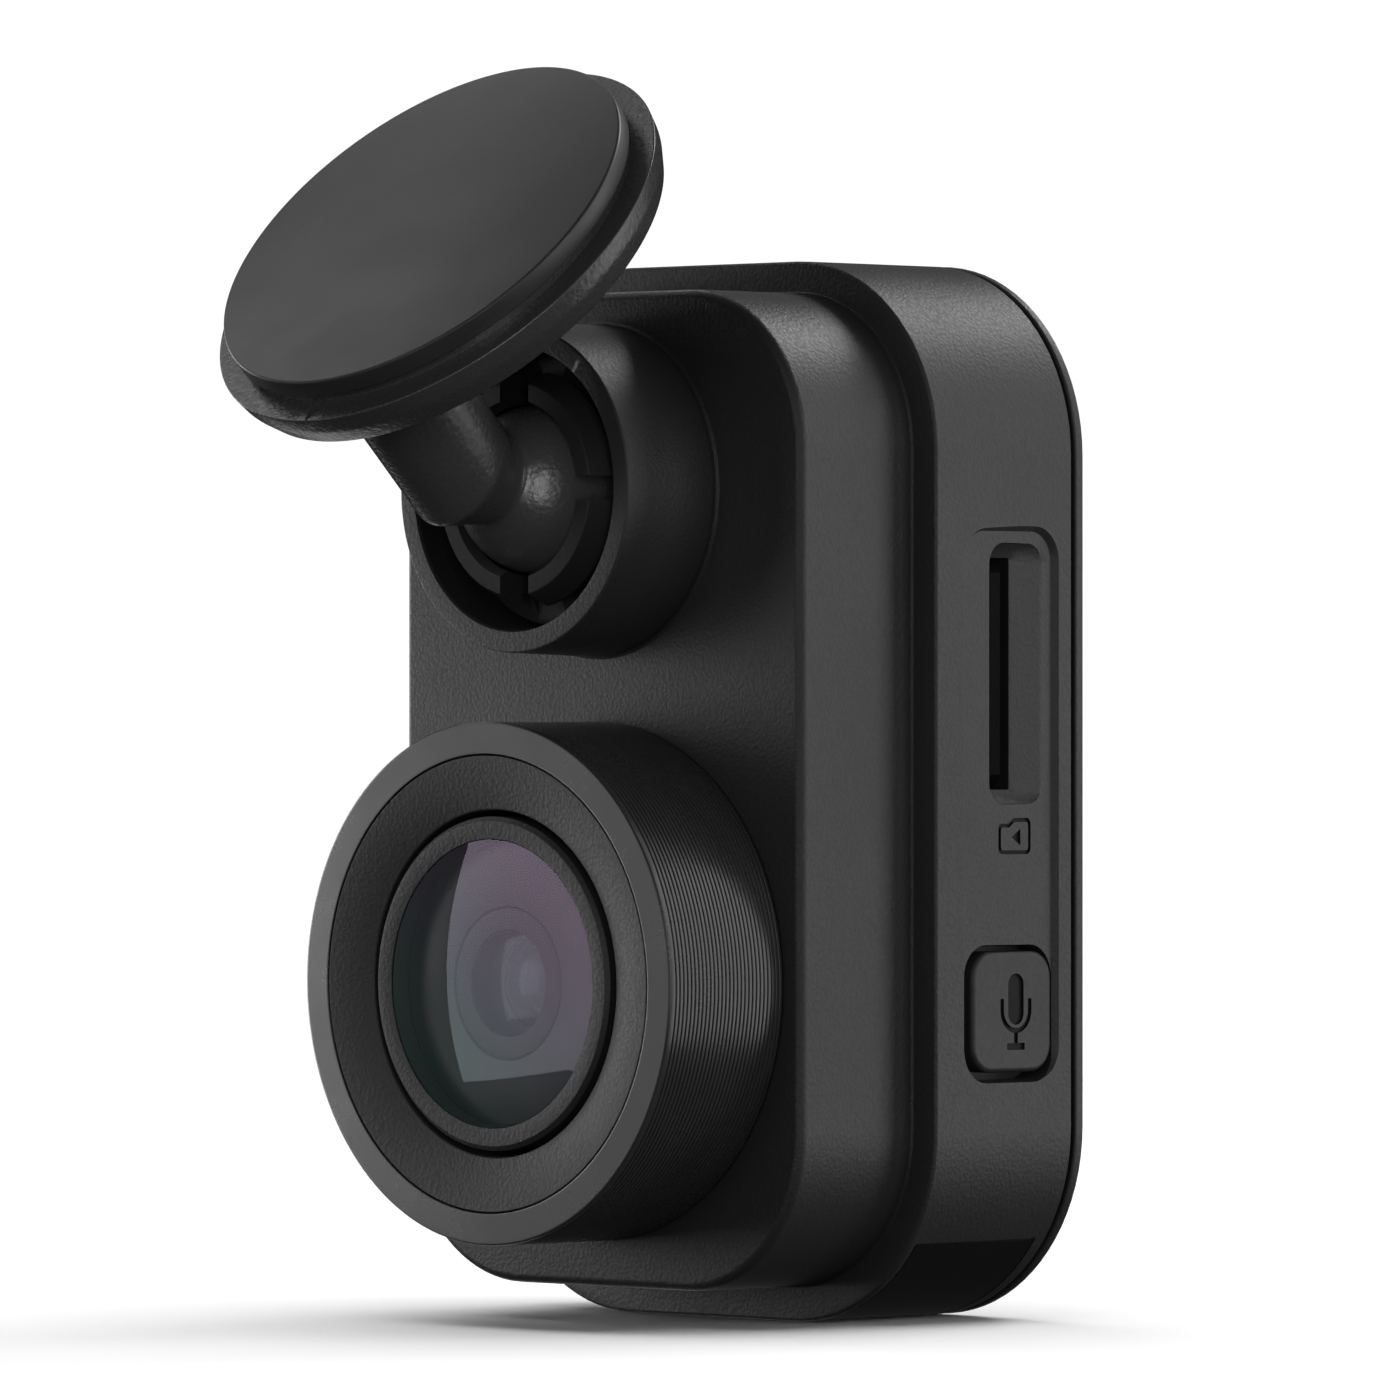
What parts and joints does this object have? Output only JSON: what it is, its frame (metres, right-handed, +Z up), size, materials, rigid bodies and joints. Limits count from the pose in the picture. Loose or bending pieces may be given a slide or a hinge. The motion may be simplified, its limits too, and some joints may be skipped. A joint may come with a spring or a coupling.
{
  "type": "dash camera",
  "caption": "Small in-vehicle video camera: rounded upright body, large round front lens, side card slot and microphone button, hung by a ball joint from a round adhesive windscreen disc.",
  "frame": {"origin": "centre of the adhesive pad's outer face, the face that sticks to the windscreen", "axes": "+Z up along the body's height, the lens looks along -Y, +X is the side with the card slot and the microphone button"},
  "size_m": [0.0314, 0.0398, 0.0622],
  "materials": {
    "shell_plastic": "fine leather-like moulded grain, charcoal black",
    "satin_plastic": "smooth satin, charcoal black",
    "label_film": "smooth blank film",
    "coated_glass": "domed, anti-reflection coated, green and violet",
    "optic_glass": "polished",
    "black_plastic": "matt black",
    "filter_glass": "coated filter glass",
    "chip_black": "moulded epoxy",
    "board_green": "solder-mask green",
    "steel": "plated steel",
    "gold_metal": "plated metal can",
    "grey_foam": "soft silicone pad",
    "white_plastic": "translucent white",
    "card_plastic": "moulded card body, blank",
    "nylon": "nylon and coated paper cone",
    "cell_foil": "wrapped foil pouch",
    "wire_red": "insulated wire",
    "wire_black": "insulated wire",
    "pad_foam": "smooth adhesive foam, grey"
  },
  "bodies": {
    "mount": {"mount_arm": "shell_plastic", "adhesive_pad": "pad_foam"},
    "ball_cup": {"ball_cup": "nylon"},
    "cup_spring": {"cup_spring": "steel"},
    "camera": {"front_housing": "shell_plastic", "back_cover": "shell_plastic", "lens_funnel": "shell_plastic", "lens_ring": "satin_plastic", "lens_inner_ring": "satin_plastic", "ball_collet": "satin_plastic", "rating_label": "label_film", "front_glass": "coated_glass", "lens_element_2": "optic_glass", "lens_element_3": "optic_glass", "lens_element_4": "optic_glass", "lens_barrel": "black_plastic", "aperture_stop": "black_plastic", "lens_holder": "black_plastic", "card_socket_base": "black_plastic", "power_port_tongue": "black_plastic", "speaker_frame": "black_plastic", "ir_filter": "filter_glass", "image_sensor": "chip_black", "stacking_connector": "chip_black", "processor": "chip_black", "memory_chip": "chip_black", "power_inductor": "chip_black", "mic_switch_body": "chip_black", "sensor_board": "board_green", "main_board": "board_green", "sensor_screw_1": "steel", "sensor_screw_2": "steel", "board_screw_1": "steel", "board_screw_2": "steel", "board_screw_3": "steel", "board_screw_4": "steel", "collet_screw_1": "steel", "collet_screw_2": "steel", "shield_can": "steel", "card_socket_cover": "steel", "power_port_shell": "steel", "microphone": "gold_metal", "thermal_pad": "grey_foam", "status_led": "white_plastic", "light_pipe": "white_plastic", "speaker_cone": "nylon", "backup_cell": "cell_foil", "cell_wire_red": "wire_red", "cell_wire_black": "wire_black"},
    "mic_button": {"mic_button_cap": "satin_plastic", "mic_switch_plunger": "white_plastic"},
    "memory_card": {"memory_card": "card_plastic"}
  },
  "joints": [
    {"name": "ball_turn", "type": "hinge", "parent": "mount", "child": "ball_cup", "pos_m": [0, 0.00826, -0.01294], "axis": [0, 1, 0], "range_deg": [-90, 90]},
    {"name": "ball_pan", "type": "hinge", "parent": "ball_cup", "child": "cup_spring", "pos_m": [0, 0.00826, -0.01294], "axis": [0, 0, 1], "range_deg": [-15, 15]},
    {"name": "ball_tilt", "type": "hinge", "parent": "cup_spring", "child": "camera", "pos_m": [0, 0.00826, -0.01294], "axis": [1, 0, 0], "range_deg": [-15, 15]},
    {"name": "mic_button_press", "type": "slide", "parent": "camera", "child": "mic_button", "axis": [-1, 0, 0], "range_m": [0, 0.0003], "stiffness_N_per_m": 1500, "springref_m": -0.0001},
    {"name": "memory_card_slide", "type": "slide", "parent": "camera", "child": "memory_card", "axis": [1, 0, 0], "range_m": [-0.0005, 0.016]}
  ]
}
